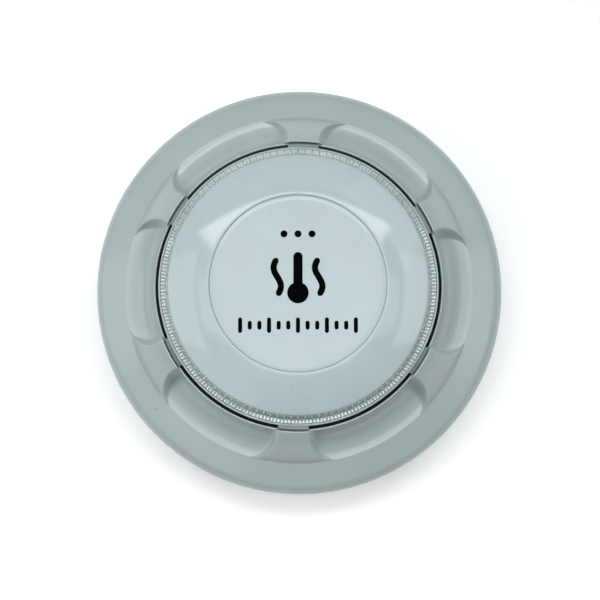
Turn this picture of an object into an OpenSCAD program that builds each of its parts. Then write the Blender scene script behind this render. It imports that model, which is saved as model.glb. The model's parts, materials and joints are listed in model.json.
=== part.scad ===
// Ceiling heat detector: a twist-off sensing head on a fixed mounting base.
// The mounting face lies on z = 0 and the sensing face looks along +Z.

/* [Overall] */
// Widest diameter of the head
head_d = 115; // [110:1:120]
// Height from the mounting face to the front disc
total_h = 38; // [37.5:0.25:39]
// Smoothness of the curved parts
fn = 96; // [64:16:160]

/* [Head housing] */
// Height of the skirt's lower edge above the mounting face
skirt_z = 10; // [10:0.1:10.4]
// Height of the widest line of the skirt
widest_z = 14.8; // [14:0.2:15.4]
// Radius of the skirt's rounded shoulder
shoulder_r = 4.2; // [3.6:0.2:4.6]
// Slope of the bezel between the shoulder and the crest, in degrees
bezel_slope = 20; // [17:1:23]
// Radius of the crest, where the ribs and scoops meet the bezel
crest_r = 48.8; // [48.4:0.1:49.2]
// Number of raised ribs
rib_count = 6; // [6:1:6]
// Angle by which the ribs are turned from the Y axis, in degrees
rib_turn = -2; // [-4:1:2]
// Half width of a rib at its inner end
rib_half_w = 4.3; // [4.1:0.1:4.5]
// Height of the inner end of a rib
rib_top_z = 31.7; // [31.4:0.1:32]
// Radius of curvature of a rib's top, along its length
rib_curve_r = 33; // [28:1:45]
// Radius of the concave side of a rib, seen from the front
rib_side_r = 6.3; // [6.1:0.1:6.5]
// Slope of a scoop's floor at the crest, in degrees
cove_end_slope = 8; // [5:1:14]
// Wall thickness of the housing
wall = 1.8; // [1.6:0.1:2]

/* [Air slot] */
// Inner radius of the air slot, which is the rim of the light ring
slot_in_r = 38.5; // [38.4:0.05:38.6]
// Outer radius of the air slot
slot_out_r = 39.4; // [39.35:0.05:39.5]
// Height of the housing's lip at the slot
lip_z = 29.8; // [29.6:0.1:30]

/* [Cap] */
// Radius of the front disc
disc_r = 24; // [22:0.5:25]
// Outer radius of the dome cap
cap_r = 35.5; // [35.4:0.05:35.6]
// Height of the dome cap's outer edge
cap_edge_z = 35; // [34.8:0.1:35.2]
// Radius of curvature of the dome cap
cap_curve_r = 46; // [40:1:70]

/* [Mounting base] */
// Radius of the base
base_r = 55.5; // [54.5:0.25:56]
// Height of the base's outer wall
base_h = 9.6; // [9:0.1:9.6]
// Thickness of the base's floor
floor_t = 2; // [1.8:0.1:2.2]
// Distance between the centres of the two fixing slots
fixing_spacing = 60; // [58:1:62]
// Width of a fixing slot
fixing_slot_w = 4.5; // [4:0.1:5]
// Overall length of a fixing slot
fixing_slot_l = 8; // [7:0.5:9]
// Radius of the cable opening
cable_r = 8.5; // [7:0.5:9]

/* [Bayonet] */
// Number of bayonet lugs
lug_count = 3; // [3:1:3]
// Angular width of a lug and of its hook, in degrees
lug_deg = 16; // [14:1:17]
// Twist from the locked to the released position, in degrees
twist_deg = 22; // [20:1:24]
// Outer radius of the lugs
lug_r = 45; // [44.6:0.1:45]

/* [Electrical] */
// Number of terminals
terminal_count = 4; // [4:1:4]
// Radius on which the terminal screws stand
terminal_r = 36.6; // [36.4:0.1:36.6]
// Radius of the circuit board
board_r = 39; // [38.5:0.25:39.5]
// Number of status lamps and light pipes
lamp_count = 3; // [3:1:3]

/* [Hidden] */
$fn = fn;

white = [0.86, 0.88, 0.88];
head_r = head_d / 2;
eps = 0.01;
rib_step = 360 / rib_count;
lug_step = 360 / lug_count;
terminal_step = 360 / terminal_count;
lamp_step = 360 / lamp_count;
first_rib = 90 + rib_turn;
first_scoop = first_rib + rib_step / 2;

// shoulder and bezel
shoulder_c = [head_r - shoulder_r, widest_z];
shoulder_end = shoulder_c + shoulder_r * [sin(bezel_slope), cos(bezel_slope)];
crest_z = shoulder_end[1] + (shoulder_end[0] - crest_r) * tan(bezel_slope);
rib_end_r = slot_out_r + 0.5;
rib_end = [rib_end_r, rib_top_z];
lip_end = [rib_end_r, lip_z];
crest = [crest_r, crest_z];

// scoop floor: an arc from the lip to the crest that is nearly level where it ends
cove_chord = norm(crest - lip_end);
cove_tilt = atan2(lip_z - crest_z, crest_r - rib_end_r);
cove_half_turn = cove_tilt - cove_end_slope;
cove_r = cove_chord / 2 / sin(cove_half_turn);
cove_c = arc_centre(lip_end, crest, cove_r, 1);
rib_c = arc_centre(rib_end, crest, rib_curve_r, -1);
rib_side_c = [rib_half_w + rib_side_r, crest_r * cos(14.2) - rib_side_r];
rib_side_reach = crest_r * sin(14.2) + 0.6;

// dome cap
disc_gap = 0.2;
disc_t = 1;
disc_step = 0.3;
disc_top_z = total_h - disc_step;
cap_bed_z = disc_top_z - disc_t;
cap_top = [disc_r + disc_gap, total_h];
cap_edge = [cap_r, cap_edge_z];
cap_c = arc_centre(cap_top, cap_edge, cap_curve_r, -1);
cap_skirt_r = cap_r - 0.8;
cap_skirt_in_r = cap_skirt_r - 1.5;
cap_under_z = cap_bed_z - 1.6;
ring_top_z = cap_edge_z - 0.2;
ring_bed_z = 29;
pipe_top_z = ring_bed_z + 0.5;
cap_skirt_z = pipe_top_z + 0.1;

// black chassis
deck_t = 1.4;
deck_z = ring_bed_z - deck_t;
chassis_r = slot_in_r - 0.5;
chassis_in_r = chassis_r - 1.4;
flange_z = 22.2;
flange_t = 1.6;
flange_r = 40.1;
leg_ring_r = 38.3;
leg_r = 1.5;
window_deg = 36;
window_z = flange_z + flange_t + 0.6;
window_h = 2.6;
leg_turn = first_scoop;

// back cover and board
cover_t = 1.8;
cover_top_z = skirt_z + cover_t;
cover_r = head_r - 2.35;
collar_r = 42;
collar_t = 2;
lug_z = 3.2;
lug_t = 2;
lug_turn = 30;
hook_gap = 0.2;
hook_t = 2;
hook_z = lug_z + lug_t + hook_gap;
base_collar_r = 45.3;
base_collar_t = 2.2;
base_collar_h = 8.6;
hook_in_r = 42.4;
stop_gap_deg = 0.5;
stop_deg = 2;
board_t = 1.6;
board_z = 14;
board_top_z = board_z + board_t;
board_post_r = 33;
board_post_turn = 68;
head_screw_r = 50.5;
head_screw_turn = first_rib;
head_boss_z = 13;
lamp_r = 35.3;
lamp_turn = first_rib;
pipe_r = 1;
peg_ring_r = 30;
peg_r = 1.2;

// terminals, contacts and blades
strip_t = 0.8;
strip_w = 7;
strip_z = 4;
tongue_z = 6.6;
blade_gap = 0.1;
blade_t = 0.6;
blade_z = tongue_z + blade_gap;
blade_in_r = 27.8;
blade_w = 4.6;
blade_half_l = 4.4;
clamp_t = 1.1;
clamp_z = strip_z + strip_t;
screw_seat_z = clamp_z + clamp_t;
terminal_turn = 45;

// centre of the circle of radius r through a and b; side 1 puts it outside and above
function arc_centre(a, b, r, side) =
    let (half = norm(b - a) / 2, dir = (b - a) / (2 * half))
    (a + b) / 2 + side * sqrt(r * r - half * half) * [-dir[1], dir[0]];

// points from a to b along the circle about c, by the shorter way
function arc_to(c, a, b, n) =
    let (
        r0 = norm(a - c),
        r1 = norm(b - c),
        a0 = atan2(a[1] - c[1], a[0] - c[0]),
        turn = (atan2(b[1] - c[1], b[0] - c[0]) - a0 + 540) % 360 - 180
    )
    [for (i = [0:n]) let (t = i / n) c + (r0 + (r1 - r0) * t) * [cos(a0 + turn * t), sin(a0 + turn * t)]];

// the point at radius r on the lower side of the circle about c
function under_arc(c, radius, r) = [r, c[1] - sqrt(radius * radius - (r - c[0]) * (r - c[0]))];

module around(count, start) {
    for (i = [0:count - 1])
        rotate([0, 0, start + i * 360 / count])
            children();
}

module tube(r_out, r_in, h) {
    difference() {
        cylinder(r = r_out, h = h);
        translate([0, 0, -1])
            cylinder(r = r_in, h = h + 2);
    }
}

// flat sector between two radii, centred on the X axis
module sector(r_in, r_out, deg) {
    reach = r_out / cos(deg / 2) + 1;
    intersection() {
        difference() {
            circle(r = r_out);
            circle(r = r_in);
        }
        polygon([[0, 0], reach * [cos(deg / 2), -sin(deg / 2)], reach * [cos(deg / 2), sin(deg / 2)]]);
    }
}

module sector_block(r_in, r_out, deg, z, h) {
    translate([0, 0, z])
        linear_extrude(h)
            sector(r_in, r_out, deg);
}

module slot_shape(l, w) {
    square([l - w, w], center = true);
    for (s = [-1, 1])
        translate([s * (l - w) / 2, 0])
            circle(d = w);
}

// ---------------------------------------------------------------- mounting base

module base_tray() {
    difference() {
        cylinder(r = base_r, h = base_h);
        translate([0, 0, floor_t])
            cylinder(r = base_r - 2, h = base_h);
    }
    translate([0, 0, floor_t - eps])
        tube(base_collar_r + base_collar_t, base_collar_r, base_collar_h - floor_t + eps);
    around(12, 0)
        translate([base_collar_r + base_collar_t - 0.2, -0.6, floor_t - eps])
            cube([base_r - base_collar_r - base_collar_t - 1.6, 1.2, 4]);
}

// overhanging hook, with a stop at each end of its lug's travel
module base_hooks() {
    stop_at = lug_deg / 2 + stop_gap_deg + stop_deg / 2;
    around(lug_count, lug_turn) {
        sector_block(hook_in_r, base_collar_r + 0.3, lug_deg, hook_z, hook_t);
        for (a = [-stop_at, stop_at + twist_deg])
            rotate([0, 0, a])
                sector_block(43, base_collar_r + 0.3, stop_deg, floor_t - eps, hook_z - floor_t);
    }
}

module terminal_pedestals() {
    around(terminal_count, terminal_turn)
        translate([terminal_r - 3.4, -4, floor_t - eps])
            cube([6, 8, strip_z - floor_t + eps]);
}

module base_plate() {
    color(white)
        difference() {
            union() {
                base_tray();
                base_hooks();
                terminal_pedestals();
                translate([0, 0, floor_t - eps])
                    tube(cable_r + 6.5, cable_r + 4.5, 2);
            }
            translate([0, 0, -1])
                cylinder(r = cable_r + 1.5, h = floor_t + 2);
            for (s = [-1, 1])
                translate([s * fixing_spacing / 2, 0, -1])
                    linear_extrude(floor_t + 2)
                        slot_shape(fixing_slot_l, fixing_slot_w);
            around(terminal_count, terminal_turn)
                translate([terminal_r, 0, 1])
                    cylinder(r = 1.5, h = 6);
        }
}

module cable_grommet() {
    color([0.12, 0.12, 0.13])
        rotate_extrude()
            polygon([
                [cable_r, 0], [cable_r + 1.5, 0], [cable_r + 1.5, floor_t], [cable_r + 3.2, floor_t],
                [cable_r + 3.2, floor_t + 0.8], [cable_r + 2.6, floor_t + 1.4], [cable_r, floor_t + 1.4]
            ]);
}

// bent strip: a flat under the terminal screw and a raised tongue
module terminal_contacts() {
    color([0.8, 0.68, 0.38])
        around(terminal_count, terminal_turn)
            difference() {
                translate([0, strip_w / 2, 0])
                    rotate([90, 0, 0])
                        linear_extrude(strip_w)
                            polygon([
                                [terminal_r + 2.6, strip_z], [terminal_r + 2.6, clamp_z],
                                [terminal_r - 2.4, clamp_z], [terminal_r - 3.6, tongue_z],
                                [27.4, tongue_z], [27.4, tongue_z - strip_t],
                                [terminal_r - 4.1, tongue_z - strip_t], [terminal_r - 2.9, strip_z]
                            ]);
                translate([terminal_r, 0, 3])
                    cylinder(r = 1.5, h = 3);
            }
}

module clamp_plates() {
    color([0.72, 0.73, 0.75])
        around(terminal_count, terminal_turn)
            difference() {
                translate([terminal_r - 2.3, -3.3, clamp_z])
                    cube([4.9, 6.6, clamp_t]);
                translate([terminal_r, 0, clamp_z - 1])
                    cylinder(r = 1.5, h = clamp_t + 2);
            }
}

module terminal_screws() {
    color([0.72, 0.73, 0.75])
        around(terminal_count, terminal_turn)
            translate([terminal_r, 0, 0])
                difference() {
                    union() {
                        translate([0, 0, 1.2])
                            cylinder(r = 1.5, h = screw_seat_z - 1.2 + eps);
                        translate([0, 0, screw_seat_z])
                            cylinder(r = 2.5, h = 1.8);
                    }
                    translate([-3, -0.35, screw_seat_z + 1])
                        cube([6, 0.7, 2]);
                    translate([-0.35, -3, screw_seat_z + 1])
                        cube([0.7, 6, 2]);
                }
}

// ---------------------------------------------------------------- back of the head

module cover_body() {
    translate([0, 0, skirt_z])
        cylinder(r = cover_r, h = cover_t);
    translate([0, 0, lug_z])
        tube(collar_r, collar_r - collar_t, skirt_z - lug_z + eps);
    around(lug_count, lug_turn)
        sector_block(collar_r - 0.5, lug_r, lug_deg, lug_z, lug_t);
    around(3, board_post_turn)
        translate([board_post_r, 0, cover_top_z - eps])
            cylinder(r = 2.6, h = board_z - cover_top_z + eps);
    around(3, leg_turn)
        translate([leg_ring_r, 0, cover_top_z - eps])
            cylinder(r = leg_r + 1.2, h = 1.2);
    around(3, head_screw_turn)
        translate([head_screw_r, 0, cover_top_z - eps])
            cylinder(r = 3.4, h = head_boss_z - cover_top_z + eps);
}

module back_cover() {
    color(white)
        difference() {
            cover_body();
            around(3, board_post_turn)
                translate([board_post_r, 0, skirt_z + 1])
                    cylinder(r = 1.1, h = 5);
            around(3, leg_turn)
                translate([leg_ring_r, 0, cover_top_z])
                    cylinder(r = leg_r, h = 3);
            around(3, head_screw_turn)
                translate([head_screw_r, 0, skirt_z - 1]) {
                    cylinder(r = 3, h = 2.6);
                    cylinder(r = 1.6, h = 6);
                }
            around(terminal_count, terminal_turn)
                translate([blade_in_r, blade_half_l - blade_t, skirt_z - 1])
                    cube([blade_w, blade_t, 4]);
        }
}

module rating_label() {
    color([0.93, 0.93, 0.9])
        translate([0, 0, skirt_z - 0.15])
            cylinder(r = 17, h = 0.15);
}

// wiper with turned-up toe, and a tail that passes through the cover to the board
module contact_blades() {
    color([0.82, 0.72, 0.45])
        around(terminal_count, terminal_turn)
            translate([blade_in_r, 0, 0])
                rotate([90, 0, 90])
                    linear_extrude(blade_w)
                        polygon([
                            [blade_half_l, blade_z], [blade_half_l, board_z],
                            [blade_half_l - blade_t, board_z], [blade_half_l - blade_t, blade_z + blade_t],
                            [-blade_half_l + 1.4, blade_z + blade_t], [-blade_half_l, blade_z + blade_t + 1],
                            [-blade_half_l - 0.3, blade_z + blade_t + 0.5], [-blade_half_l + 1.2, blade_z]
                        ]);
}

module pan_screw(shank_r, shank_l, head_r_mm, head_h) {
    difference() {
        union() {
            translate([0, 0, -shank_l])
                cylinder(r = shank_r, h = shank_l + eps);
            cylinder(r = head_r_mm, h = head_h);
        }
        for (a = [0, 90])
            rotate([0, 0, a])
                translate([-head_r_mm * 0.6, -0.3, head_h - 0.7])
                    cube([head_r_mm * 1.2, 0.6, 1]);
    }
}

module head_screws() {
    color([0.72, 0.73, 0.75])
        around(3, head_screw_turn)
            translate([head_screw_r, 0, skirt_z + 1.6])
                rotate([180, 0, 0])
                    pan_screw(1.3, 5.6, 2.7, 1.4);
}

module circuit_board() {
    color([0.1, 0.36, 0.2])
        difference() {
            translate([0, 0, board_z])
                cylinder(r = board_r, h = board_t);
            around(3, board_post_turn)
                translate([board_post_r, 0, board_z - 1])
                    cylinder(r = 1.1, h = board_t + 2);
            around(3, leg_turn)
                translate([leg_ring_r, 0, board_z - 1])
                    cylinder(r = leg_r + 0.4, h = board_t + 2);
        }
}

module board_screws() {
    color([0.72, 0.73, 0.75])
        around(3, board_post_turn)
            translate([board_post_r, 0, board_top_z])
                pan_screw(1.1, 4, 2.1, 1.3);
}

module status_lamps() {
    color([0.95, 0.95, 0.8])
        around(lamp_count, lamp_turn)
            translate([lamp_r - 1.6, -1.4, board_top_z])
                cube([3.2, 2.8, 0.8]);
}

module microcontroller() {
    color([0.09, 0.09, 0.1])
        translate([-6, 4, board_top_z]) {
            translate([-3.5, -3.5, 0.15])
                cube([7, 7, 1.1]);
            for (a = [0, 90, 180, 270])
                rotate([0, 0, a])
                    for (i = [-3:3])
                        translate([3.4, i * 0.8 - 0.15, 0])
                            cube([1.1, 0.3, 0.3]);
        }
}

module bridge_rectifier() {
    color([0.1, 0.1, 0.11])
        translate([-24, -9, board_top_z]) {
            translate([-2.4, -2, 0.1])
                cube([4.8, 4, 2.3]);
            for (x = [-1.5, 1.1], s = [-1, 1])
                translate([x, s > 0 ? 1.9 : -2.9, 0])
                    cube([0.4, 1, 0.4]);
        }
}

module capacitors() {
    color([0.55, 0.57, 0.6])
        for (p = [[12, -14], [20, -8], [-14, -18]])
            translate([p[0], p[1], board_top_z]) {
                translate([-3.2, -3.2, 0])
                    cube([6.4, 6.4, 0.8]);
                translate([0, 0, 0.7])
                    cylinder(r = 3, h = 4.6);
            }
}

// small two-ended parts of the power supply and the sensing circuit
module surface_parts() {
    color([0.5, 0.44, 0.36])
        for (row = [0:2], i = [0:4])
            translate([-18 + i * 3.4, 15 + row * 3, board_top_z])
                cube([2, 1.2, 0.7]);
}

// ---------------------------------------------------------------- sensing element

module at_thermistor() {
    rotate([0, 0, first_scoop - rib_step])
        translate([31, 0, 0])
            children();
}

module thermistor() {
    color([0.2, 0.2, 0.24])
        at_thermistor()
            translate([0, 0, 22.6])
                sphere(r = 1.2);
}

module thermistor_leads() {
    color([0.78, 0.78, 0.8])
        at_thermistor()
            for (s = [-1, 1])
                translate([0, s * 0.7, board_top_z])
                    cylinder(r = 0.25, h = 5.85);
}

module thermistor_holder() {
    color([0.1, 0.1, 0.1])
        at_thermistor()
            translate([0, 0, board_top_z])
                difference() {
                    cylinder(r = 1.9, h = 3.4);
                    for (s = [-1, 1])
                        translate([0, s * 0.7, -1])
                            cylinder(r = 0.25, h = 6);
                }
}

// ---------------------------------------------------------------- chassis, light ring, cap

module chassis_shell() {
    rotate_extrude()
        polygon([
            [0, deck_z], [chassis_in_r, deck_z], [chassis_in_r, flange_z], [flange_r, flange_z],
            [flange_r, flange_z + flange_t], [chassis_r, flange_z + flange_t],
            [chassis_r, ring_bed_z], [0, ring_bed_z]
        ]);
    around(3, leg_turn)
        translate([leg_ring_r, 0, cover_top_z])
            cylinder(r = leg_r, h = flange_z + flange_t / 2 - cover_top_z);
}

module inner_chassis() {
    color([0.05, 0.05, 0.06])
        difference() {
            chassis_shell();
            around(rib_count, first_scoop)
                sector_block(chassis_in_r - 1, chassis_r + 1, window_deg, window_z, window_h);
            around(lamp_count, lamp_turn)
                translate([lamp_r, 0, deck_z - 1])
                    cylinder(r = pipe_r + 0.1, h = deck_t + 2);
            around(3, first_scoop)
                translate([peg_ring_r, 0, deck_z - 1])
                    cylinder(r = peg_r + 0.1, h = deck_t + 2);
        }
}

module light_ring() {
    tab_deg = 2 * asin(rib_half_w / (slot_out_r + 0.3));
    color([0.8, 0.86, 0.87]) {
        rotate_extrude()
            polygon([
                [cap_skirt_r + 0.1, ring_bed_z], [slot_in_r, ring_bed_z], [slot_in_r, lip_z + 0.6],
                [slot_in_r - 0.3, lip_z + 0.9], [slot_in_r - 0.6, lip_z + 0.9],
                [slot_in_r - 0.7, lip_z + 1.6], [cap_r + 0.1, ring_top_z],
                [cap_skirt_r + 0.1, ring_top_z]
            ]);
        around(rib_count, first_rib)
            sector_block(slot_in_r - 0.4, slot_out_r + 0.3, tab_deg, lip_z, 0.9);
        around(lamp_count, lamp_turn)
            translate([lamp_r, 0, board_top_z + 1.2])
                cylinder(r = pipe_r, h = pipe_top_z - board_top_z - 1.2);
    }
}

module dome_cap() {
    color(white) {
        rotate_extrude()
            polygon(concat(
                [[0, cap_under_z], [21, cap_under_z], [cap_skirt_in_r, cap_edge_z - 2.2]],
                [[cap_skirt_in_r, cap_skirt_z], [cap_skirt_r, cap_skirt_z], [cap_skirt_r, ring_top_z]],
                [[cap_r, ring_top_z]],
                arc_to(cap_c, cap_edge, cap_top, 10),
                [[cap_top[0], cap_bed_z], [0, cap_bed_z]]
            ));
        around(3, first_scoop)
            translate([peg_ring_r, 0, deck_z - 0.8])
                cylinder(r = peg_r, h = cap_edge_z - 1.2 - deck_z + 0.8);
    }
}

module front_disc() {
    color([0.88, 0.9, 0.91])
        rotate_extrude()
            polygon([
                [0, cap_bed_z], [disc_r, cap_bed_z], [disc_r, disc_top_z - 0.2],
                [disc_r - 0.2, disc_top_z], [0, disc_top_z]
            ]);
}

// ---------------------------------------------------------------- outer housing

// the plan outline of a rib, along +X: straight at its inner end, flaring to the crest
module rib_plan() {
    difference() {
        translate([slot_out_r - 2, -rib_side_reach])
            square([crest_r + 1 - slot_out_r + 2, 2 * rib_side_reach]);
        for (s = [-1, 1])
            mirror([0, s < 0 ? 1 : 0]) {
                translate([rib_side_c[1], rib_side_c[0]])
                    circle(r = rib_side_r);
                translate([slot_out_r - 3, rib_half_w])
                    square([rib_side_c[1] - slot_out_r + 3, rib_side_reach]);
                translate([slot_out_r - 3, rib_side_c[0]])
                    square([rib_side_c[1] + rib_side_r - slot_out_r + 3, rib_side_reach]);
            }
    }
}

// the air of all the scoops: above the cove, inside the crest, between the ribs
module scoop_air() {
    intersection() {
        rotate_extrude()
            polygon(concat(
                arc_to(cove_c, lip_end, crest, 12),
                [[crest_r, rib_top_z + 2], [rib_end_r - 2, rib_top_z + 2], [rib_end_r - 2, lip_z]]
            ));
        translate([0, 0, crest_z - 3])
            linear_extrude(rib_top_z + 2)
                difference() {
                    circle(r = crest_r + 1);
                    around(rib_count, first_rib)
                        rib_plan();
                }
    }
}

// the space inside the ribs, which keeps their walls as thin as the rest
module rib_hollows() {
    inner_end = [slot_out_r + wall, rib_top_z - wall - 0.4];
    intersection() {
        rotate_extrude()
            polygon(concat(
                arc_to(rib_c, crest - [2.4, 1.4], inner_end, 8),
                [[slot_out_r + wall, 24], [45, 18]]
            ));
        around(rib_count, first_rib)
            translate([slot_out_r, -rib_half_w + 1.4, 0])
                cube([12, 2 * rib_half_w - 2.8, 40]);
    }
}

module housing_ring() {
    under = cove_r + wall;
    under_top = under_arc(cove_c, under, slot_out_r);
    under_end = cove_c + under / cove_r * (crest - cove_c);
    inner_r = shoulder_r - wall;
    inner_end = shoulder_c + inner_r * [sin(bezel_slope), cos(bezel_slope)];
    inner_wide = shoulder_c + [inner_r, 0];
    rotate_extrude()
        polygon(concat(
            [[head_r - 0.5, skirt_z]],
            arc_to(shoulder_c, [head_r, widest_z], shoulder_end, 8),
            arc_to(rib_c, crest, rib_end, 10),
            [lip_end, [slot_out_r, lip_z]],
            arc_to(cove_c, under_top, under_end, 12),
            arc_to(shoulder_c, inner_end, inner_wide, 6),
            [[head_r - wall - 0.5, skirt_z]]
        ));
}

module outer_housing() {
    color(white)
        difference() {
            union() {
                housing_ring();
                around(3, head_screw_turn)
                    translate([head_screw_r, 0, head_boss_z])
                        cylinder(r = 3, h = crest_z - wall - 0.4 - head_boss_z);
            }
            scoop_air();
            rib_hollows();
            around(3, head_screw_turn)
                translate([head_screw_r, 0, head_boss_z - 1])
                    cylinder(r = 1.3, h = 5.4);
        }
}

base_plate();
cable_grommet();
terminal_contacts();
clamp_plates();
terminal_screws();
back_cover();
rating_label();
contact_blades();
head_screws();
circuit_board();
board_screws();
status_lamps();
microcontroller();
bridge_rectifier();
capacitors();
surface_parts();
thermistor();
thermistor_leads();
thermistor_holder();
inner_chassis();
light_ring();
dome_cap();
front_disc();
outer_housing();
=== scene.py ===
import json
import math

import bmesh
import bpy
from mathutils import Matrix, Vector


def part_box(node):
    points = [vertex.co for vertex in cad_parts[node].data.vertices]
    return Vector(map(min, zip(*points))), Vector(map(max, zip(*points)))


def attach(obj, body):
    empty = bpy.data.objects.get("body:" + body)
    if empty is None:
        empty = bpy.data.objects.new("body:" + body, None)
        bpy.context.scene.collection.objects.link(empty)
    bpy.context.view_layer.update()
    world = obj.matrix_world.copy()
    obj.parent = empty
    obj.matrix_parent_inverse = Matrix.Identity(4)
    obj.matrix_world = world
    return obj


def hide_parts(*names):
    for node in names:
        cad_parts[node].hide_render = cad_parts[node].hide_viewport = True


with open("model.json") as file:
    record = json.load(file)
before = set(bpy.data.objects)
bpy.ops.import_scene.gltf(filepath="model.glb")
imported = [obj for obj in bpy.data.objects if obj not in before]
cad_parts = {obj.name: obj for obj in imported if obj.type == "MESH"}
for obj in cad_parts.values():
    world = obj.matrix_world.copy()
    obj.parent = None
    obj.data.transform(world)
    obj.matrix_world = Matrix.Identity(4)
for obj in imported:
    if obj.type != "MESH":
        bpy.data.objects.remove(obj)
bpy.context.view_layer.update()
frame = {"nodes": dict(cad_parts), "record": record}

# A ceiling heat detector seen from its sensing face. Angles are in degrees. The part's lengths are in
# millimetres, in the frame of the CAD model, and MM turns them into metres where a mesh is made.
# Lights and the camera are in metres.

MM = 0.001

# ------------------------------------------------------------------ sizes

# from the CAD model's boxes
housing_lo, housing_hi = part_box("outer_housing")
cap_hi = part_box("dome_cap")[1]
disc_lo, disc_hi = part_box("front_disc")

HEAD_R = housing_hi.x / MM
SKIRT_Z = housing_lo.z / MM
RIB_TOP_Z = housing_hi.z / MM
CAP_R = cap_hi.x / MM
TOTAL_H = cap_hi.z / MM
DISC_R = disc_hi.x / MM
DISC_BED_Z = disc_lo.z / MM

# shared with the CAD model's source; FIRST_RIB is counted from +X
WIDEST_Z = 14.8
SHOULDER_R = 4.2
BEZEL_SLOPE = 20.0
CREST_R = 48.8
RIB_COUNT = 6
FIRST_RIB = 88.0
RIB_HALF_W = 4.3
RIB_CURVE_R = 33.0
RIB_SIDE_R = 6.3
RIB_TIP_DEG = 14.2
WALL = 1.8
SLOT_IN_R = 38.5
SLOT_OUT_R = 39.4
LIP_Z = 29.8
RING_BED_Z = 29.0
CAP_EDGE_Z = 35.0
CAP_CURVE_R = 46.0

HALF_SECTOR = 180 / RIB_COUNT

# ------------------------------------------------------------------ plane geometry


def sind(a):
    return math.sin(math.radians(a))


def cosd(a):
    return math.cos(math.radians(a))


def tand(a):
    return math.tan(math.radians(a))


def asind(x):
    return math.degrees(math.asin(x))


def acosd(x):
    return math.degrees(math.acos(x))


def atan2d(y, x):
    return math.degrees(math.atan2(y, x))


def arc_centre(a, b, r, side):
    """Centre of the circle of radius r through a and b; side 1 puts it outside and above."""
    dx, dz = b[0] - a[0], b[1] - a[1]
    full = math.hypot(dx, dz)
    lift = side * math.sqrt(r * r - full * full / 4)
    return ((a[0] + b[0]) / 2 - lift * dz / full, (a[1] + b[1]) / 2 + lift * dx / full)


def arc(c, a, b, n):
    """n + 1 points from a to b round c, by the shorter way."""
    a0 = math.atan2(a[1] - c[1], a[0] - c[0])
    a1 = math.atan2(b[1] - c[1], b[0] - c[0])
    turn = (a1 - a0 + 3 * math.pi) % (2 * math.pi) - math.pi
    r0 = math.dist(a, c)
    r1 = math.dist(b, c)
    points = []
    for i in range(n + 1):
        t = i / n
        r = r0 + (r1 - r0) * t
        points.append((c[0] + r * math.cos(a0 + turn * t), c[1] + r * math.sin(a0 + turn * t)))
    return points


def bend(a, b, c, n):
    """n + 1 points of the curve that leaves a towards b and reaches c from b."""
    points = []
    for k in range(n + 1):
        t = k / n
        u, v, w = (1 - t) ** 2, 2 * t * (1 - t), t * t
        points.append(tuple(u * p + v * q + w * r for p, q, r in zip(a, b, c)))
    return points


def blend(xs, ys, t):
    """The numbers a share t of the way from xs to ys."""
    return [x + (y - x) * t for x, y in zip(xs, ys)]


def rounded(points, radii, steps):
    """The closed outline with each corner that has a radius replaced by a curve."""
    out = []
    n = len(points)
    for i, (p, radius) in enumerate(zip(points, radii)):
        if radius <= 0:
            out.append(p)
            continue
        q, s = points[i - 1], points[(i + 1) % n]
        lq, ls = math.dist(p, q), math.dist(p, s)
        cut = min(radius, lq * 0.45, ls * 0.45)
        out += bend(blend(p, q, cut / lq), p, blend(p, s, cut / ls), steps)
    return out


# ------------------------------------------------------------------ mesh builders


def make_mesh(name, verts, faces, smooth=True):
    mesh = bpy.data.meshes.new(name)
    mesh.from_pydata([(x * MM, y * MM, z * MM) for x, y, z in verts], [], faces)
    mesh.validate()
    mesh.update()
    obj = bpy.data.objects.new(name, mesh)
    bpy.context.scene.collection.objects.link(obj)
    if smooth:
        for p in mesh.polygons:
            p.use_smooth = True
    return obj


def outward(obj):
    """Makes every face look outwards."""
    bm = bmesh.new()
    bm.from_mesh(obj.data)
    bmesh.ops.recalc_face_normals(bm, faces=bm.faces)
    bm.to_mesh(obj.data)
    bm.free()
    return obj


def closed_grid(name, rows, smooth=True):
    """A closed mesh from rows of points that each go right round, joined row to row and last to first."""
    n = len(rows[0])
    faces = []
    for i in range(len(rows)):
        a = i * n
        b = (i + 1) % len(rows) * n
        for j in range(n):
            k = (j + 1) % n
            faces.append((a + j, a + k, b + k, b + j))
    return outward(make_mesh(name, [p for row in rows for p in row], faces, smooth))


def revolve(name, profile, segments):
    """A closed mesh: the (r, z) outline, which starts and ends on the Z axis, turned about it."""
    turns = [(cosd(360 * j / segments), sind(360 * j / segments)) for j in range(segments)]
    inner = profile[1:-1]
    verts = [(r * c, r * s, z) for r, z in inner for c, s in turns]
    n = segments
    faces = []
    for i in range(len(inner) - 1):
        for j in range(n):
            k = (j + 1) % n
            faces.append((i * n + j, i * n + k, (i + 1) * n + k, (i + 1) * n + j))
    first, end = len(verts), len(verts) + 1
    verts += [(0, 0, profile[0][1]), (0, 0, profile[-1][1])]
    top = (len(inner) - 1) * n
    for j in range(n):
        k = (j + 1) % n
        faces.append((first, k, j))
        faces.append((end, top + j, top + k))
    return outward(make_mesh(name, verts, faces))


def plate(name, outline, z, thickness):
    """A flat piece with a closed outline, parallel to the disc."""
    n = len(outline)
    verts = [(x, y, z) for x, y in outline] + [(x, y, z + thickness) for x, y in outline]
    faces = [tuple(range(n - 1, -1, -1)), tuple(range(n, 2 * n))]
    for i in range(n):
        k = (i + 1) % n
        faces.append((i, k, n + k, n + i))
    return outward(make_mesh(name, verts, faces, smooth=False))


# ------------------------------------------------------------------ materials


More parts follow.
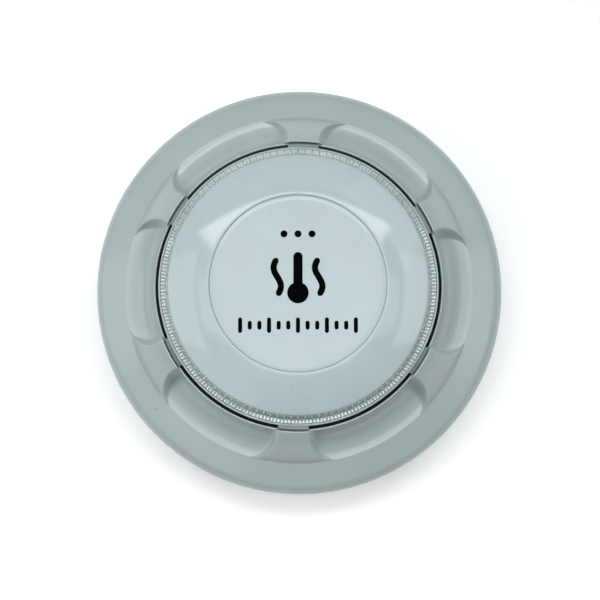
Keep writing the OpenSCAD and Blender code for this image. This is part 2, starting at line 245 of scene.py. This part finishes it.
class Nodes:
    """Short calls for building one material's nodes."""

    def __init__(self, name):
        self.material = bpy.data.materials.new(name)
        self.material.use_nodes = True
        self.tree = self.material.node_tree
        self.shader = self.tree.nodes["Principled BSDF"]
        self.object_at = self.add("ShaderNodeTexCoord").outputs["Object"]

    def add(self, kind, **values):
        node = self.tree.nodes.new(kind)
        for key, value in values.items():
            setattr(node, key, value)
        return node

    def link(self, a, b):
        self.tree.links.new(a, b)

    def drive(self, **sources):
        """Links sources to the shader's sockets of the same names, with _ for a space."""
        for key, source in sources.items():
            self.link(source, self.shader.inputs[key.replace("_", " ")])

    def set(self, **values):
        for key, value in values.items():
            self.shader.inputs[key.replace("_", " ")].default_value = value
        return self

    def noise(self, scale, detail=3.0, roughness=0.5):
        node = self.add("ShaderNodeTexNoise")
        node.inputs["Scale"].default_value = scale
        node.inputs["Detail"].default_value = detail
        node.inputs["Roughness"].default_value = roughness
        self.link(self.object_at, node.inputs["Vector"])
        return node.outputs["Fac"]

    def ramp(self, source, low, from_colour, high, to_colour):
        node = self.add("ShaderNodeValToRGB")
        for stop, at, colour in zip(node.color_ramp.elements, (low, high), (from_colour, to_colour)):
            stop.position = at
            stop.color = (*colour, 1)
        self.link(source, node.inputs["Fac"])
        return node.outputs["Color"]

    def spread(self, source, low, high, to_low, to_high):
        node = self.add("ShaderNodeMapRange")
        for key, value in zip(("From Min", "From Max", "To Min", "To Max"), (low, high, to_low, to_high)):
            node.inputs[key].default_value = value
        self.link(source, node.inputs["Value"])
        return node.outputs["Result"]

    def colour_mix(self, factor, a, colour_b):
        node = self.add("ShaderNodeMix", data_type="RGBA")
        self.link(factor, node.inputs["Factor"])
        self.link(a, node.inputs["A"])
        node.inputs["B"].default_value = (*colour_b, 1)
        return node.outputs["Result"]

    def bump(self, height, strength, distance):
        node = self.add("ShaderNodeBump")
        node.inputs["Strength"].default_value = strength
        node.inputs["Distance"].default_value = distance
        self.link(height, node.inputs["Height"])
        return node.outputs["Normal"]


def shade(colour, factor):
    return tuple(c * factor for c in colour)


def white_plastic(name, base, roughness):
    """Glossy moulded ABS: faint cloudiness, fine orange peel, a few specks of dust."""
    n = Nodes(name)
    colour = n.ramp(n.noise(60, 2.0), 0.35, shade(base, 0.965), 0.65, base)
    specks = n.spread(n.noise(1300, 0.0), 0.87, 0.90, 0.0, 1.0)
    n.drive(
        Base_Color=n.colour_mix(specks, colour, shade(base, 0.6)),
        Roughness=n.spread(n.noise(350), 0.3, 0.7, roughness * 0.9, roughness * 1.15),
        Normal=n.bump(n.noise(1400, 2.0), 0.05, 0.00004),
    )
    return n.set(IOR=1.5).material


def textured_plastic(name, base, roughness, grain=2600):
    """Spark-eroded moulded plastic, or another dull surface with a fine grain."""
    n = Nodes(name)
    n.drive(
        Base_Color=n.ramp(n.noise(90), 0.35, shade(base, 0.94), 0.65, base),
        Roughness=n.spread(n.noise(500), 0.3, 0.7, roughness * 0.85, roughness * 1.1),
        Normal=n.bump(n.noise(grain, 4.0, 0.6), 0.35, 0.00006),
    )
    return n.set(IOR=1.5).material


def metal(name, base, roughness):
    n = Nodes(name)
    n.drive(
        Base_Color=n.ramp(n.noise(700), 0.3, shade(base, 0.8), 0.7, base),
        Roughness=n.spread(n.noise(1500), 0.3, 0.7, roughness * 0.7, roughness * 1.3),
        Normal=n.bump(n.noise(4000, 2.0), 0.15, 0.00003),
    )
    return n.set(Metallic=1.0).material


def clear_plastic(name, base, shine, coat):
    """Clear acrylic that looks frosted where its teeth scatter light."""
    n = Nodes(name)
    n.drive(
        Base_Color=n.ramp(n.noise(300, 2.0), 0.35, shade(base, 0.93), 0.65, base),
        Roughness=n.spread(n.noise(900, 2.0), 0.3, 0.7, 0.04, 0.09),
        Normal=n.bump(n.noise(1200, 1.0), 0.05, 0.00004),
    )
    n.set(IOR=1.49, Transmission_Weight=0.10, Specular_IOR_Level=shine)
    return n.set(Coat_Weight=coat, Coat_Roughness=0.04).material


def ink(name, base):
    """Pad-printed ink: dead black, with a fine uneven film."""
    n = Nodes(name)
    n.drive(
        Base_Color=n.ramp(n.noise(800, 4.0), 0.4, base, 0.75, shade(base, 1.6)),
        Roughness=n.spread(n.noise(1200), 0.3, 0.7, 0.30, 0.42),
        Normal=n.bump(n.noise(3000, 2.0), 0.1, 0.00002),
    )
    return n.set(IOR=1.45, Specular_IOR_Level=0.0).material


# the maker of each material, its name, its base colour and the maker's other numbers; the CAD model's
# slots come first, then the materials that only new pieces have
LOOKS = (
    (white_plastic, "housing_white", (0.492, 0.580, 0.585), 0.21),
    (white_plastic, "disc_white", (0.580, 0.695, 0.720), 0.20),
    (textured_plastic, "base_white", (0.525, 0.605, 0.615), 0.45),
    (textured_plastic, "cover_white", (0.525, 0.605, 0.615), 0.45),
    (textured_plastic, "chassis_black", (0.012, 0.012, 0.013), 0.55),
    (clear_plastic, "clear_ring", (0.60, 0.70, 0.69), 0.7, 0.35),
    (textured_plastic, "grommet_rubber", (0.03, 0.03, 0.033), 0.7),
    (metal, "contact_brass", (0.78, 0.60, 0.28), 0.28),
    (metal, "plated_steel", (0.62, 0.63, 0.66), 0.3),
    (metal, "tinned_wire", (0.75, 0.75, 0.78), 0.25),
    (metal, "capacitor_can", (0.66, 0.68, 0.70), 0.22),
    (textured_plastic, "board_green", (0.02, 0.13, 0.05), 0.3, 1200),
    (textured_plastic, "chip_black", (0.015, 0.015, 0.017), 0.5),
    (textured_plastic, "lamp_yellow", (0.85, 0.78, 0.45), 0.2, 900),
    (textured_plastic, "ceramic_tan", (0.35, 0.26, 0.17), 0.45),
    (white_plastic, "bead_epoxy", (0.05, 0.05, 0.07), 0.2),
    (textured_plastic, "label_paper", (0.72, 0.72, 0.69), 0.5, 1500),
    (white_plastic, "cap_white", (0.574, 0.693, 0.711), 0.10),
    # the tabs' and pipes' clear plastic: the ring's clear plastic made much darker, painted shade for the
    # dark gap and inside seen through it
    (clear_plastic, "clear_tab", (0.22, 0.265, 0.26), 0.45, 0.0),
    (ink, "print_ink", (0.002, 0.0025, 0.003)),
)
MATERIALS = {name: make(name, *values) for make, name, *values in LOOKS}


def dress(obj, material):
    obj.data.materials.clear()
    obj.data.materials.append(material)


def fit(obj, material, body, slot, *nodes):
    """Gives a new piece its material, the body it rides on and the CAD nodes it stands for; slot is not
    used.
    """
    dress(obj, MATERIALS[material])
    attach(obj, body)
    if nodes:
        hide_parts(*nodes)


# ------------------------------------------------------------------ outer housing

RIB_END_R = SLOT_OUT_R + 0.5
GAP_FLOOR_Z = LIP_Z - 1.8

# rows from the slot to the end of the cove, and columns across half a rib and half a scoop's floor
COVE_ROWS = 44
RIB_COLUMNS = 8
FLOOR_COLUMNS = 14

# the scoop's floor stops short of the crest, and a narrow bank bends from it and leans in:
# (distance from the end of the cove, slope there, rows up to there)
COVE_END_SLOPE = 17.5
BANK = [(0.0, -COVE_END_SLOPE, 0), (0.9, -5.0, 4), (2.6, 5.0, 6)]

# a rib's upper edge and its nose by the slot
EDGE_ROUND = 0.35
NOSE_ROWS = 4
NOSE_DROP = 0.45
NOSE_LENGTH = 0.55

# the wall between a rib and a scoop's floor
WALL_BAND = 2.4
WALL_FILLET = 0.5
WALL_PER_HEIGHT = 0.42
WALL_WIDENING = 0.4
WIDENING_R = 43
LEAST_SLANT = 0.2


def on_shoulder(r):
    """The point at distance r from the shoulder's centre, square to the bezel."""
    return (shoulder_c[0] + r * sind(BEZEL_SLOPE), shoulder_c[1] + r * cosd(BEZEL_SLOPE))


shoulder_c = (HEAD_R - SHOULDER_R, WIDEST_Z)
shoulder_end = on_shoulder(SHOULDER_R)
crest_z = shoulder_end[1] + (shoulder_end[0] - CREST_R) * tand(BEZEL_SLOPE)
crest = (CREST_R, crest_z)
lip_end = (RIB_END_R, LIP_Z)

bank = [(0.0, 0.0)]
for (r0, a0, _), (r1, a1, steps) in zip(BANK, BANK[1:]):
    m0, m1 = tand(a0), tand(a1)
    z0 = bank[-1][1]
    for k in range(1, steps + 1):
        run = (r1 - r0) * k / steps
        bank.append((r0 + run, z0 + run * (m0 + (m1 - m0) * k / steps / 2)))
CREST_ROW = COVE_ROWS + len(bank) - 1

floor_end = (CREST_R - bank[-1][0], crest_z - bank[-1][1])
cove_tilt = atan2d(LIP_Z - floor_end[1], floor_end[0] - RIB_END_R)
COVE_R = math.dist(lip_end, floor_end) / 2 / sind(cove_tilt - COVE_END_SLOPE)
cove_c = arc_centre(lip_end, floor_end, COVE_R, 1)
COVE_START = 180 + atan2d(cove_c[1] - LIP_Z, cove_c[0] - RIB_END_R)
COVE_END = 270 - COVE_END_SLOPE
rib_c = arc_centre((RIB_END_R, RIB_TOP_Z), crest, RIB_CURVE_R, -1)
rib_side_c = (RIB_HALF_W + RIB_SIDE_R, CREST_R * cosd(RIB_TIP_DEG) - RIB_SIDE_R)


def rib_z(r):
    return rib_c[1] + math.sqrt(RIB_CURVE_R**2 - (r - rib_c[0]) ** 2)


def rib_edge(r):
    """The edge at radius r: its angle from the rib's centre line, and the sine of its angle to the row."""
    cx, cy = rib_side_c
    a = asind(RIB_HALF_W / r)
    if r * cosd(a) <= cy:
        return a, cosd(a)
    top = cy + RIB_SIDE_R
    if r >= math.hypot(cx, top):
        a = acosd(top / r)
        return a, sind(a)
    rc = math.hypot(cx, cy)
    a = atan2d(cx, cy) - acosd((r * r + rc * rc - RIB_SIDE_R**2) / (2 * r * rc))
    nx, ny = (cx - r * sind(a)) / RIB_SIDE_R, (cy - r * cosd(a)) / RIB_SIDE_R
    return a, max(abs(nx * cosd(a) - ny * sind(a)), LEAST_SLANT)


def wall_profile(width):
    """(offset from the rib's edge, share of the rib's height) across a scoop's end wall."""
    fillet = min(WALL_FILLET, 0.3 * width)
    foot = width - fillet
    start = min(0.25, 0.2 * width)
    last = foot - fillet
    top = bend((-EDGE_ROUND, 1), (0, 1), (start, 1 - start / foot), 4)
    xs = [start + (last - start) * k / 4 for k in range(1, 4)]
    straight = [(x, 1 - x / foot) for x in xs]
    return top + straight + bend((last, 1 - last / foot), (foot, 0), (width, 0), 5)


def housing_face_row(i):
    """Half a sector of row i of the face, as (angle from the rib's centre line, r, z)."""
    if i <= COVE_ROWS:
        a = COVE_START + (COVE_END - COVE_START) * i / COVE_ROWS
        r, z_scoop = cove_c[0] + COVE_R * cosd(a), cove_c[1] + COVE_R * sind(a)
    else:
        r, z_scoop = (p + q for p, q in zip(floor_end, bank[i - COVE_ROWS]))
    if i < NOSE_ROWS:
        nose_z = RIB_TOP_Z - NOSE_DROP - 0.1
        r_rib = RIB_END_R + 0.01 * i
        z_rib = GAP_FLOOR_Z + (nose_z - GAP_FLOOR_Z) * i / (NOSE_ROWS - 1)
    else:
        nose = max(0.0, 1 - (r - RIB_END_R) / NOSE_LENGTH)
        r_rib = r
        z_rib = rib_z(max(r, RIB_END_R)) - NOSE_DROP * nose**2
    if i == CREST_ROW:
        r, z_scoop, r_rib, z_rib = CREST_R, crest_z, CREST_R, crest_z
    height = max(z_rib - z_scoop, 0.0)
    edge, slant = rib_edge(max(r, RIB_END_R))
    widening = max(0.0, WIDENING_R - r) * WALL_WIDENING
    width = min(WALL_BAND, WALL_PER_HEIGHT * height + widening) + 0.02
    per_mm = math.degrees(1 / r) / slant
    profile = wall_profile(width)
    first = edge + profile[0][0] * per_mm
    row = [(first * k / RIB_COLUMNS, r_rib, z_rib) for k in range(RIB_COLUMNS)]
    for x, s in profile:
        row.append((edge + x * per_mm, r + (r_rib - r) * s, z_scoop + (z_rib - z_scoop) * s))
    last = row[-1][0]
    for k in range(1, FLOOR_COLUMNS + 1):
        row.append((last + (HALF_SECTOR - last) * k / FLOOR_COLUMNS, r, z_scoop))
    return row


def sector_row(row):
    """All the way round from half a sector: each rib's two sides mirror each other."""
    points = []
    for k in range(RIB_COUNT):
        centre = FIRST_RIB + k * 2 * HALF_SECTOR
        beyond = centre + 2 * HALF_SECTOR
        for a, r, z in row[:-1]:
            points.append((r * cosd(centre + a), r * sind(centre + a), z))
        for a, r, z in reversed(row[1:]):
            points.append((r * cosd(beyond - a), r * sind(beyond - a), z))
    return points


def plain_row(r, z, angles):
    """A row of a surface of revolution, with half a sector's columns at these angles."""
    return sector_row([(a, r, z) for a in angles])


def build_housing():
    face = [housing_face_row(i) for i in range(CREST_ROW + 1)]
    slot_angles = [p[0] for p in face[0]]
    crest_angles = [p[0] for p in face[-1]]
    columns = len(crest_angles) - 1
    even_angles = [HALF_SECTOR * j / columns for j in range(columns + 1)]

    lip = [(SLOT_OUT_R, 27.5), (SLOT_OUT_R, LIP_Z - 0.2),
           (SLOT_OUT_R + 0.06, LIP_Z - 0.05), (SLOT_OUT_R + 0.2, LIP_Z)]
    outside = [(CREST_R + 0.15, crest_z - 0.15 * tand(BEZEL_SLOPE))]
    outside += [blend(crest, shoulder_end, k / 5) for k in range(1, 6)]
    outside += arc(shoulder_c, shoulder_end, (HEAD_R, WIDEST_Z), 12)[1:]
    outside += [(HEAD_R - 0.2, 12.4), (HEAD_R - 0.45, SKIRT_Z + 0.35),
                (HEAD_R - 0.52, SKIRT_Z + 0.1), (HEAD_R - 0.7, SKIRT_Z)]
    inner_r = SHOULDER_R - WALL
    under_r = COVE_R + WALL
    under_start = (SLOT_OUT_R, cove_c[1] - math.sqrt(under_r**2 - (SLOT_OUT_R - cove_c[0]) ** 2))
    under_end = tuple(c + under_r / COVE_R * (p - c) for c, p in zip(cove_c, crest))
    inside = [(HEAD_R - WALL - 0.3, SKIRT_Z), (HEAD_R - WALL - 0.5, SKIRT_Z + 0.2)]
    inside += arc(shoulder_c, (shoulder_c[0] + inner_r, WIDEST_Z), on_shoulder(inner_r), 6)
    inside += arc(cove_c, under_start, under_end, 12)[::-1]

    rows = []
    for r, z in lip:
        low = min(z, GAP_FLOOR_Z - 0.05)
        row = [(a, r, low if k < RIB_COLUMNS else z) for k, a in enumerate(slot_angles)]
        rows.append(sector_row(row))
    rows += [sector_row(row) for row in face]
    for k, (r, z) in enumerate(outside):
        rows.append(plain_row(r, z, blend(crest_angles, even_angles, min(1.0, (k + 1) / 6))))
    for k, (r, z) in enumerate(inside):
        back = max(0.0, (k - len(inside) + 8) / 8)
        rows.append(plain_row(r, z, blend(even_angles, slot_angles, back)))
    return closed_grid("housing_shell", rows)


fit(build_housing(), "housing_white", "head", "housing_white", "outer_housing")

# ------------------------------------------------------------------ dome cap and front disc

DISC_STEP = 0.3
DISC_TOP_Z = TOTAL_H - DISC_STEP
CAP_SKIRT_R = CAP_R - 0.8
CAP_SKIRT_IN_R = CAP_SKIRT_R - 1.5
CAP_UNDER_R = 21
CAP_UNDER_Z = DISC_BED_Z - 1.6
RING_TOP_Z = CAP_EDGE_Z - 0.2
CAP_COLUMNS = 288


def build_cap():
    """The dome, whose rim turns over into the disc's recess, and a skirt inside the ring."""
    rim_r = DISC_R + 0.06
    roll_r = rim_r + 0.9
    c = arc_centre((rim_r, TOTAL_H), (CAP_R, CAP_EDGE_Z), CAP_CURVE_R, -1)
    roll_start = (roll_r, c[1] + math.sqrt(CAP_CURVE_R**2 - (roll_r - c[0]) ** 2))
    outline = [
        (0, CAP_UNDER_Z), (CAP_UNDER_R, CAP_UNDER_Z), (CAP_SKIRT_IN_R, CAP_EDGE_Z - 2.2),
        (CAP_SKIRT_IN_R, RING_BED_Z + 0.6), (CAP_SKIRT_R, RING_BED_Z + 0.6),
        (CAP_SKIRT_R, RING_TOP_Z - 0.02), (CAP_R - 0.05, RING_TOP_Z - 0.02),
        (CAP_R, RING_TOP_Z + 0.04), (CAP_R, CAP_EDGE_Z - 0.05),
    ]
    outline += arc(c, (CAP_R - 0.08, CAP_EDGE_Z + 0.03), roll_start, 28)
    outline += bend(outline[-1], (rim_r + 0.12, TOTAL_H), (rim_r, TOTAL_H - 0.3), 8)[1:]
    outline += [(rim_r, DISC_BED_Z), (0, DISC_BED_Z)]
    return revolve("cap_shell", outline, CAP_COLUMNS)


def build_disc():
    outline = [
        (0, DISC_BED_Z), (DISC_R, DISC_BED_Z), (DISC_R + 0.02, DISC_TOP_Z - 0.25),
        (DISC_R - 0.04, DISC_TOP_Z - 0.06), (DISC_R - 0.2, DISC_TOP_Z), (DISC_R - 1.5, DISC_TOP_Z),
        (DISC_R / 2, DISC_TOP_Z), (0, DISC_TOP_Z),
    ]
    return revolve("disc_plate", outline, CAP_COLUMNS)


fit(build_cap(), "cap_white", "head", "housing_white", "dome_cap")
fit(build_disc(), "disc_white", "head", "disc_white", "front_disc")

# ------------------------------------------------------------------ printed pictogram

INK_T = 0.03
HEAT_X = 5.6
DOT_Y = 13.4
DOT_R = 0.95
DOT_PITCH = 3.8
TICK_COUNT = 13
TICK_Y = -11.4
TICK_R = 0.55
TICK_PITCH = 2.6
TICK_HALF = 1.2
LONG_TICK_HALF = 2.1


def capsule(x0, y0, x1, y1, r, n=12):
    """Outline of a round-ended bar from one point to another."""
    a = atan2d(y1 - y0, x1 - x0)
    points = []
    for x, y, start in ((x1, y1, a - 90), (x0, y0, a + 90)):
        turns = [start + 180 * k / n for k in range(n + 1)]
        points += [(x + r * cosd(t), y + r * sind(t)) for t in turns]
    return points


def thermometer_outline(x, y, bulb_r, stem_r, top):
    """Bulb and stem in one outline: the bulb's centre is at (x, y)."""
    half = asind(stem_r / bulb_r)
    turns = [half + (360 - 2 * half) * k / 48 for k in range(49)]
    points = [(x + bulb_r * sind(t), y + bulb_r * cosd(t)) for t in turns]
    turns = [180 * k / 16 for k in range(17)]
    points += [(x - stem_r * cosd(t), top + stem_r * sind(t)) for t in turns]
    return points


def wave_outline(x, y, height, amplitude, r, n=28):
    """A rising wavy bar, the sign for heat."""
    left, right = [], []
    for k in range(n + 1):
        t = k / n
        cx, cy = x + amplitude * sind(360 * t), y + height * t
        slope = amplitude * 2 * math.pi / height * cosd(360 * t)
        nx, ny = 1 / math.hypot(1, slope), -slope / math.hypot(1, slope)
        width = r * min(1.0, 3.2 * math.sqrt(t * (1 - t)) + 0.25)
        left.append((cx - nx * width, cy - ny * width))
        right.append((cx + nx * width, cy + ny * width))
    return left + right[::-1]


def mark(name, outline):
    fit(plate(name, outline, DISC_TOP_Z, INK_T), "print_ink", "head", "disc_white")


mark("mark_thermometer", thermometer_outline(0.0, -2.6, 2.9, 1.25, 7.2))
for i, x in enumerate((-HEAT_X, HEAT_X)):
    mark(f"mark_heat_{i}", wave_outline(x, -3.4, 10.2, 1.0, 0.85))
for i in range(3):
    x = (i - 1) * DOT_PITCH
    mark(f"mark_dot_{i}", capsule(x, DOT_Y, x + 0.01, DOT_Y, DOT_R))
for i in range(TICK_COUNT):
    x = (i - TICK_COUNT // 2) * TICK_PITCH
    half = (TICK_HALF if i % 3 else LONG_TICK_HALF) - TICK_R
    mark(f"mark_tick_{i:02d}", capsule(x, TICK_Y - half, x, TICK_Y + half, TICK_R))

# ------------------------------------------------------------------ light ring

TEETH = 120
BEAD_Z = LIP_Z + 1.2
BAND_OUT_R = SLOT_IN_R - 0.72
BAND_OUT_Z = BEAD_Z + 0.30
BAND_IN_R = CAP_R + 1.15
BAND_IN_Z = BEAD_Z + 0.10
TAB_DEG = 2 * asind(RIB_HALF_W / (SLOT_OUT_R + 0.3))
TAB_COLUMNS = 16
PIPE_COUNT = 3
PIPE_AT_R = 35.3
PIPE_R = 1.0
PIPE_FOOT_Z = 16.8

# one tooth's columns: offsets in radius for the flutes, and in height for the lumps, which follow the
# groove's own offset
TOOTH_COLUMNS = 8
LEVEL = (0,) * TOOTH_COLUMNS
FLUTES = (0.20, 0.05, -0.15, -0.15, 0.05, -0.15, -0.15, 0.05)
LUMPS = (0.00, 0.03, 0.00, -0.12, 0.00, 0.03, 0.00)


def build_ring():
    """Clear ring: a steep fluted wall under the cap, then a shallow band of lumps, then a bead."""
    n = TEETH * TOOTH_COLUMNS
    inner_r = CAP_SKIRT_R + 0.1

    def ring(r, z, dr=LEVEL, dz=LEVEL):
        row = []
        for j in range(n):
            a, k = 360 * j / n, j % TOOTH_COLUMNS
            row.append(((r + dr[k]) * cosd(a), (r + dr[k]) * sind(a), z + dz[k]))
        return row

    return closed_grid("ring_body", [
        ring(inner_r, RING_BED_Z),
        ring(SLOT_IN_R, RING_BED_Z),
        ring(SLOT_IN_R, BEAD_Z - 0.3),
        ring(SLOT_IN_R - 0.1, BEAD_Z - 0.06),
        ring(SLOT_IN_R - 0.3, BEAD_Z),
        ring(SLOT_IN_R - 0.5, BEAD_Z - 0.1),
        ring(SLOT_IN_R - 0.62, BEAD_Z - 0.42),
        ring(BAND_OUT_R, BAND_OUT_Z, dz=(-0.40, *LUMPS)),
        ring(BAND_IN_R, BAND_IN_Z, dz=(-0.30, *LUMPS)),
        ring(BAND_IN_R - 0.15, BAND_IN_Z + 0.3, dr=FLUTES),
        ring(CAP_R + 0.36, RING_TOP_Z - 0.9, dr=FLUTES),
        ring(CAP_R + 0.1, RING_TOP_Z),
        ring(inner_r, RING_TOP_Z - 0.5),
    ], smooth=False)


def build_tab(name, centre):
    """A short bar of the ring in the gap at a rib's end."""
    r_in, r_out = SLOT_IN_R - 0.35, SLOT_OUT_R + 0.15
    profile = [
        (r_in, LIP_Z + 0.02), (r_out - 0.05, LIP_Z + 0.02), (r_out, LIP_Z + 0.1), (r_out, LIP_Z + 0.7),
        (r_out - 0.12, LIP_Z + 0.85), (r_out - 0.3, LIP_Z + 0.9), (r_in, LIP_Z + 0.76),
    ]
    n, m = TAB_COLUMNS, len(profile)
    verts = []
    for i in range(n + 1):
        a = centre - TAB_DEG / 2 + TAB_DEG * i / n
        verts += [(r * cosd(a), r * sind(a), z) for r, z in profile]
    faces = []
    for i in range(n):
        for j in range(m):
            q = (j + 1) % m
            faces.append((i * m + j, i * m + q, (i + 1) * m + q, (i + 1) * m + j))
    faces.append(tuple(range(m)))
    faces.append(tuple(n * m + j for j in reversed(range(m))))
    return outward(make_mesh(name, verts, faces, smooth=False))


def build_pipe(name, at):
    """A light pipe from over a status lamp up to the ring."""
    head_z = RING_BED_Z + 0.4
    corners = [(0, PIPE_FOOT_Z), (PIPE_R, PIPE_FOOT_Z), (PIPE_R, head_z), (0, head_z)]
    pipe = revolve(name, rounded(corners, [0, 0.2, 0.1, 0], 3), 24)
    pipe.location = Vector((PIPE_AT_R * cosd(at), PIPE_AT_R * sind(at), 0)) * MM
    return pipe


fit(build_ring(), "clear_ring", "head", "clear_ring", "light_ring")
for k in range(RIB_COUNT):
    # the tabs and pipes take the darkened clear plastic, painted shade where the dark inside would show
    # through them
    fit(build_tab(f"ring_tab_{k}", FIRST_RIB + k * 360 / RIB_COUNT), "clear_tab", "head", "clear_ring")
for k in range(PIPE_COUNT):
    fit(build_pipe(f"ring_pipe_{k}", FIRST_RIB + k * 360 / PIPE_COUNT), "clear_tab", "head", "clear_ring")

# ------------------------------------------------------------------ CAD nodes that stay

SLOT_OF = {row["node"]: row["material_slot"] for row in frame["record"]["subparts"]}
for node, obj in frame["nodes"].items():
    if not obj.hide_render:
        for k in range(max(1, len(obj.material_slots))):
            if not obj.material_slots:
                obj.data.materials.append(None)
            obj.material_slots[k].material = MATERIALS[SLOT_OF[node]]

# ------------------------------------------------------------------ floor, light and camera

FLOOR_HALF = 3000
AMBIENT = 0.0
NEUTRAL = (1, 1, 1)
DAYLIGHT = (0.96, 1.0, 1.03)
ROOM_LIGHT = (1.02, 0.95, 0.86)
# the two large lights: where they are, what they face, width, height, radiance and colour
WINDOW = ((-0.04, 0.30, 0.98), (-0.04, -0.7, 0.98), 0.80, 0.65, 6.0, DAYLIGHT)
OVERHEAD = ((0, -0.05, 1.30), (0, -0.05, 0), 0.50, 0.50, 2.6, NEUTRAL)
# rings of boxes: elevation, distance, width, height, and each box's radiance, every 45 degrees from +X
BOX_RINGS = [
    (50, 1.1, 0.56, 0.40, (2.10, 1.30, 0.45, 0.35, 1.65, 0.75, 0, 0)),
    (70, 1.2, 0.30, 0.30, (1.60, 0, 0, 0.45, 1.70, 0.60, 0, 0)),
    (25, 0.9, 0.40, 0.40, (0, 0, 0, 0, 1.75, 0, 0, 0)),
]
BOX_AIM = (0, 0, 0.02)
ROOM_LIGHT_BOX = 5

CAMERA_DISTANCE = 0.450
CAMERA_AIM = (0.00027, -0.00257, WIDEST_Z * MM)
CAMERA_TILT_X = 0.7
CAMERA_TILT_Y = -5.05
FRAME_WIDTH = 0.17064
SENSOR_WIDTH = 36.0


def build_floor():
    corners = [(x * FLOOR_HALF, y * FLOOR_HALF, 0) for x, y in ((-1, -1), (1, -1), (1, 1), (-1, 1))]
    floor = make_mesh("floor", corners, [(0, 1, 2, 3)], smooth=False)
    n = Nodes("floor_paper")
    n.drive(Base_Color=n.ramp(n.noise(30, 2.0), 0.4, (0.955, 0.957, 0.96), 0.6, (0.965, 0.967, 0.97)))
    n.set(Roughness=0.9, IOR=1.2, Emission_Color=(1, 1, 1, 1), Emission_Strength=0.30)
    dress(floor, n.material)


def place(name, data, at, turn):
    """Puts a light or a camera in the scene."""
    obj = bpy.data.objects.new(name, data)
    bpy.context.scene.collection.objects.link(obj)
    obj.location = at
    obj.rotation_mode = "QUATERNION"
    obj.rotation_quaternion = turn
    return obj


def soft_box(name, at, towards, width, height, radiance, colour):
    """A plain rectangular light of even radiance, where 1 is a white sheet in full light."""
    light = bpy.data.lights.new(name, "AREA")
    light.shape = "RECTANGLE"
    light.size = width
    light.size_y = height
    light.energy = radiance * math.pi * width * height
    light.color = colour
    place(name, light, at, (Vector(towards) - Vector(at)).to_track_quat("-Z", "Y"))


def build_light():
    world = bpy.data.worlds.new("room")
    bpy.context.scene.world = world
    world.use_nodes = True
    background = world.node_tree.nodes["Background"]
    background.inputs["Color"].default_value = (1, 1, 1, 1)
    background.inputs["Strength"].default_value = AMBIENT
    soft_box("window", *WINDOW)
    soft_box("overhead", *OVERHEAD)
    for elevation, distance, width, height, row in BOX_RINGS:
        out, up = distance * cosd(elevation), distance * sind(elevation)
        for k, radiance in enumerate(row):
            if radiance:
                at = (out * cosd(45 * k), out * sind(45 * k), up)
                colour = ROOM_LIGHT if k == ROOM_LIGHT_BOX else NEUTRAL
                soft_box(f"box_{elevation}_{k}", at, BOX_AIM, width, height, radiance, colour)


def build_camera():
    """Nearly square-on, from a hand-held close-up's distance: tipped 5 degrees, with +Y still up."""
    cam = bpy.data.cameras.new("camera")
    cam.sensor_width = SENSOR_WIDTH
    cam.lens = SENSOR_WIDTH * CAMERA_DISTANCE / FRAME_WIDTH
    cam.dof.use_dof = False
    cam.clip_start = 0.01
    cam.clip_end = 20.0
    back = Vector((sind(CAMERA_TILT_X), sind(CAMERA_TILT_Y), 1.0)).normalized()
    right = Vector((0, 1, 0)).cross(back).normalized()
    up = back.cross(right)
    at = Vector(CAMERA_AIM) + back * CAMERA_DISTANCE
    turn = Matrix((right, up, back)).transposed().to_quaternion()
    bpy.context.scene.camera = place("camera", cam, at, turn)


build_floor()
build_light()
build_camera()
bpy.context.scene.view_settings.view_transform = "Standard"
bpy.context.scene.view_settings.look = "None"
